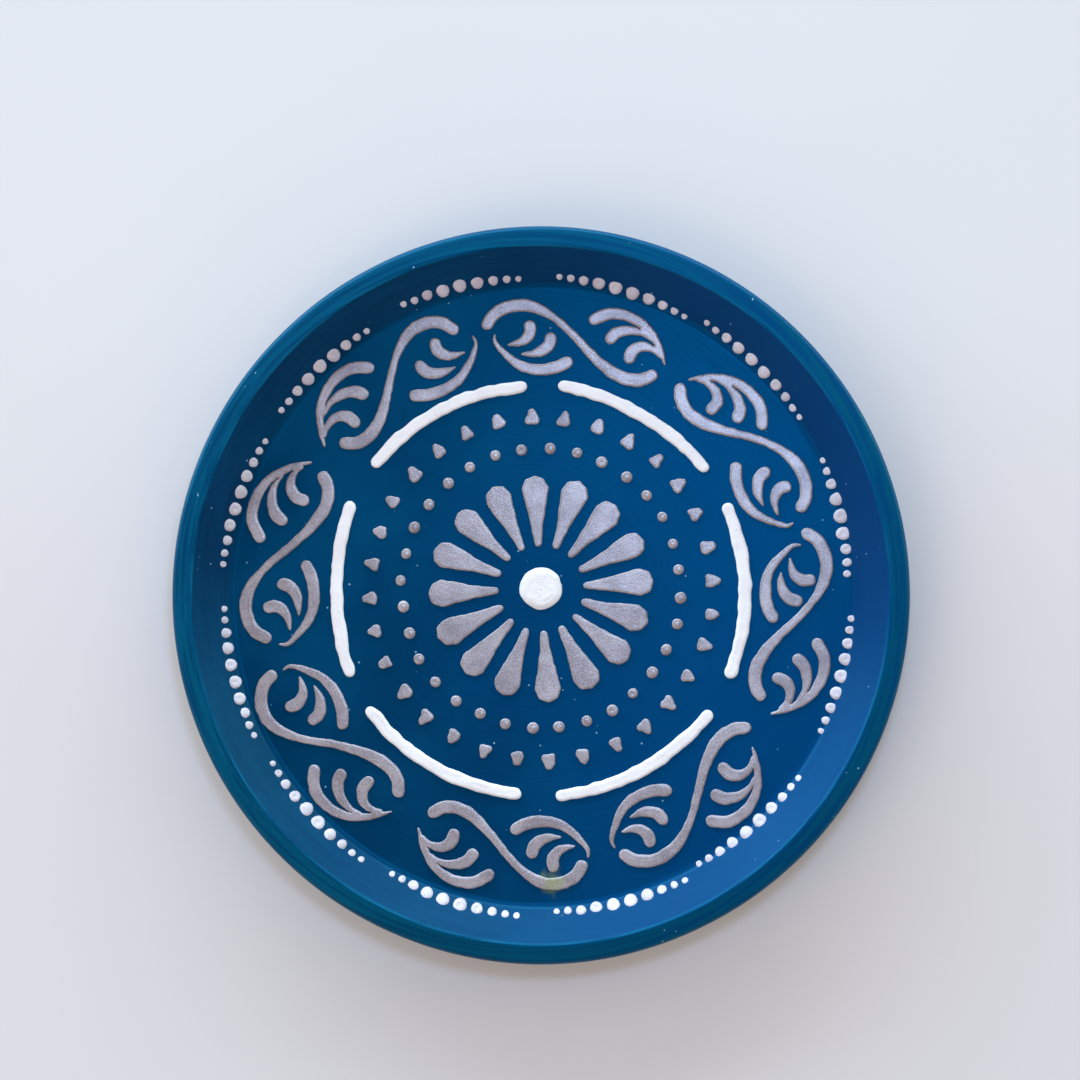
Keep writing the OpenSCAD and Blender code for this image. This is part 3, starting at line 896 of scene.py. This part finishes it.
def lay(node, loops, bead):
    """Fills the loops and lays a bead of paint on them, in place of a node."""
    slab = filled(node + "_flat", loops, grid_spacing, paint_floor)
    values = {
        "Bead height": bead["height"] * MM, "Shoulder": bead["shoulder"] * MM,
        "Edge height": edge_height, "Sink": sink, "Bristle gap": bristle_gap,
        "Bristle height": bead["bristles"] * MM, "Lump height": bead["lumps"] * MM,
        "Lumps per metre": bead["lumps a metre"], "Material": bead["paint"],
    }
    return run_tree("painted_" + node, slab, laid, values, [node])


# %% Lay every stroke
node_names = sorted(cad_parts)
dice = np.random.default_rng(7)
for kind, bead in BEADS.items():
    pieces = []
    for node in (name for name in node_names if name.startswith(kind)):
        loops = [softened(loop, bead["ragged"], bead["wave"], dice) for loop in top_outlines(node)]
        pieces.append(lay(node, loops, bead))
    print(kind, len(pieces), "pieces,", sum(triangles(piece) for piece in pieces), "triangles")

# %% [markdown]
# ## The centre dot
# The dot is one big dab of white. The strokes' outlines come from the design, and its own
# outline could too, but it is only a circle. So it is drawn as one, and its shoulder reaches
# nearly halfway in, which makes a low dome of it.

# %% Lay the centre dot
low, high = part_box("centre_dot")
middle = (low + high) / 2
dot_r = (high.x - low.x) / 2 / MM
dot_outline_points = 120
dot_bead = {
    **white, "lumps a metre": 300, "height": (high.z - low.z) / MM, "shoulder": 0.4 * dot_r,
    "bristles": 0.5, "lumps": 0.3, "ragged": 0.1, "wave": 16,
}
turn = np.linspace(0, 2 * math.pi, dot_outline_points, endpoint=False)
ring = np.column_stack([middle.x / MM + dot_r * np.cos(turn), middle.y / MM + dot_r * np.sin(turn)])
piece = lay("centre_dot", [softened(ring, dot_bead["ragged"], dot_bead["wave"], dice)], dot_bead)
print(piece.name, triangles(piece), "triangles")

# %% [markdown]
# ## Drops
# The dots are drops set down with the round end of a tool. There are well over a hundred, and
# each could be its own shape, but only their size and tilt change much. So a tree puts copies
# of two small shapes on points: a full dome, and one with the dimple that the tool leaves when
# it lifts. Both have only a few dozen faces, because they are repeated so often.


# %% Two shapes of drop
sides = 12


def drop_shape(name, line):
    """A small turned shape, one unit wide, from (radius, height) points."""
    form = bmesh.new()
    rings = []
    for r, z in line:
        around = [2 * math.pi * k / sides for k in range(sides if r else 1)]
        rings.append([form.verts.new((r * math.cos(a), r * math.sin(a), z)) for a in around])
    for inner, outer in zip(rings, rings[1:]):
        for k in range(sides):
            corner = [inner[k % len(inner)], inner[(k + 1) % len(inner)],
                      outer[(k + 1) % len(outer)], outer[k % len(outer)]]
            form.faces.new(list(dict.fromkeys(corner)))
    form.faces.new(rings[-1])
    bmesh.ops.recalc_face_normals(form, faces=form.faces)
    mesh = bpy.data.meshes.new(name)
    form.to_mesh(mesh)
    form.free()
    return bpy.data.objects.new(name, mesh)


skirt = [(0.475, 0.08), (0.5, -0.15)]
dome = drop_shape("dome", [(0, 0.215), (0.22, 0.205), (0.39, 0.155)] + skirt)
dimpled = drop_shape("dimpled", [(0, 0.14), (0.12, 0.16), (0.27, 0.205), (0.4, 0.155)] + skirt)
print("faces of a dome and of a dimpled drop:", len(dome.data.polygons), len(dimpled.data.polygons))

# %% [markdown]
# ## Where the drops lie
# Each drop's place, width and tilt are read from the design. On the floor the drops stand
# upright, so the box of each says enough. Those on the wall lean with it. The design made them
# as caps of balls, so the ball through a drop's points gives its middle and its size, and the
# way from that middle to the drop is the way that the drop faces.


# %% Where the drops lie
def loose_parts(node):
    """The points of each separate solid in a node."""
    form = merged(node)
    parts, seen = [], set()
    for first in form.verts:
        if first in seen:
            continue
        seen.add(first)
        stack, part = [first], []
        while stack:
            vert = stack.pop()
            part.append(vert.co[:])
            ahead = {edge.other_vert(vert) for edge in vert.link_edges} - seen
            seen |= ahead
            stack += ahead
        parts.append(np.array(part))
    form.free()
    return parts


def ball_through(points):
    """Centre and radius of the ball that the points lie on."""
    rows = np.column_stack([2 * points, np.ones(len(points))])
    found = np.linalg.lstsq(rows, (points ** 2).sum(1), rcond=None)[0]
    return found[:3], math.sqrt(found[3] + found[:3] @ found[:3])


ball_share = 0.611  # a drop's ball radius, as a share of its width
cap_share = 0.26  # a drop's height, as a share of its width
sets = {}
for node in (name for name in node_names if name.startswith(("ring_dots", "dot_run_"))):
    drops = []
    for part in loose_parts(node):
        if node == "ring_dots":
            low, high = part.min(0), part.max(0)
            place, width, facing = [*(low + high)[:2] / 2, low[2]], high[0] - low[0], (0, 0, 1)
        else:
            centre, radius = ball_through(part)
            width = radius / ball_share
            facing = part.mean(0) - centre
            facing /= np.linalg.norm(facing)
            place = centre + facing * (radius - cap_share * width)
        drops.append((place, width, facing))
    sets[node] = drops
print({node: len(drops) for node, drops in sets.items()})

# %% [markdown]
# ## Setting the drops
# The points carry each drop's width and facing as attributes, and the tree reads them. It
# turns the shape to face the right way, and then round itself until its long side runs down
# the wall, as wet paint does. Copies placed by a loop would do the same, but the tree also
# changes each a little by its seed.


# %% Tree that sets the drops
least_squash = (0.97, 0.97, 0.85)
most_squash = (1.07, 1.07, 1.1)
drop_unevenness = 0.35 * MM
bumps_per_metre = 450


def drop_tree():
    """Sets drops on points that carry their width and facing."""
    sockets = {"Dome": "Object", "Dimpled": "Object", "Dimpled share": "Float", "Sag": "Float",
               "Seed": "Int", "Material": "Material"}
    tree, given = new_tree("set drops", sockets)
    cloud = put(tree, "GeometryNodeMeshToPoints", {0: given["Geometry"]}).outputs[0]
    width = put(tree, "GeometryNodeInputNamedAttribute", {0: "drop_width"}, data_type="FLOAT").outputs[0]
    facing = put(tree, "GeometryNodeInputNamedAttribute", {0: "drop_facing"}, data_type="FLOAT_VECTOR")
    upright = put(tree, "FunctionNodeAlignRotationToVector", {"Vector": facing.outputs[0]}, axis="Z")
    here = put(tree, "GeometryNodeInputPosition").outputs[0]
    outwards = vector(tree, "MULTIPLY", here, (1, 1, 0))
    feeds = {"Rotation": upright.outputs[0], "Vector": outwards}
    turn = put(tree, "FunctionNodeAlignRotationToVector", feeds, axis="X", pivot_axis="Z")
    squash = put(tree, "FunctionNodeRandomValue", data_type="FLOAT_VECTOR")
    squash.inputs[0].default_value = least_squash
    squash.inputs[1].default_value = most_squash
    tree.links.new(given["Seed"], squash.inputs["Seed"])
    sagged = put(tree, "ShaderNodeCombineXYZ", {0: given["Sag"], 1: 1.0, 2: 1.0}).outputs[0]
    size = vector(tree, "SCALE", vector(tree, "MULTIPLY", squash.outputs[0], sagged))
    tree.links.new(width, size.node.inputs["Scale"])
    pick = put(tree, "FunctionNodeRandomValue", {"Probability": given["Dimpled share"]}, data_type="BOOLEAN")
    tree.links.new(calc(tree, "ADD", given["Seed"], 5), pick.inputs["Seed"])
    both = tree.nodes.new("GeometryNodeJoinGeometry")
    for shape, wanted in (("Dimpled", pick.outputs[3]), ("Dome", None)):
        source = put(tree, "GeometryNodeObjectInfo", {"Object": given[shape]}).outputs["Geometry"]
        if wanted is None:
            wanted = put(tree, "FunctionNodeBooleanMath", {0: pick.outputs[3]}, operation="NOT").outputs[0]
        feeds = {"Points": cloud, "Selection": wanted, "Instance": source,
                 "Rotation": turn.outputs[0], "Scale": size}
        tree.links.new(put(tree, "GeometryNodeInstanceOnPoints", feeds).outputs[0], both.inputs[0])
    real = put(tree, "GeometryNodeRealizeInstances", {0: both.outputs[0]}).outputs[0]

    push = vector(tree, "SCALE", noise_arrows(tree, here, bumps_per_metre, 2))
    push.node.inputs["Scale"].default_value = drop_unevenness
    uneven = put(tree, "GeometryNodeSetPosition", {"Geometry": real, "Offset": push}).outputs[0]
    finish_tree(tree, wobbled(tree, uneven, here), given["Material"])
    return tree


setter = drop_tree()

# %% Set the drops
floor_drops = {"Dimpled share": 0.2, "Sag": 1.0, "Material": pearl_paint}
wall_drops = {"Dimpled share": 0.5, "Sag": 1.22, "Material": dot_paint}

for seed, (node, drops) in enumerate(sets.items()):
    points = bpy.data.meshes.new(node + "_points")
    points.from_pydata([place for place, _, _ in drops], [], [])
    widths = points.attributes.new("drop_width", "FLOAT", "POINT")
    widths.data.foreach_set("value", [width for _, width, _ in drops])
    facings = points.attributes.new("drop_facing", "FLOAT_VECTOR", "POINT")
    facings.data.foreach_set("vector", [x for _, _, facing in drops for x in facing])
    kind, slot = (floor_drops, "pearl_paint") if node == "ring_dots" else (wall_drops, "dot_paint")
    values = {**kind, "Dome": dome, "Dimpled": dimpled, "Seed": seed}
    piece = run_tree("set_" + node, points, setter, values, [node])
    print(piece.name, len(drops), "drops,", triangles(piece), "triangles")

# %% [markdown]
# ## Measure
# The wobble and the beads must not make the plate larger than the design, or it would no
# longer fit where the design does. So the finished plate's box is measured and printed.

# %% Measure and finish
bpy.context.view_layer.update()
low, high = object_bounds()
print("the finished plate's box in mm:", [round(side / MM, 1) for side in high - low])
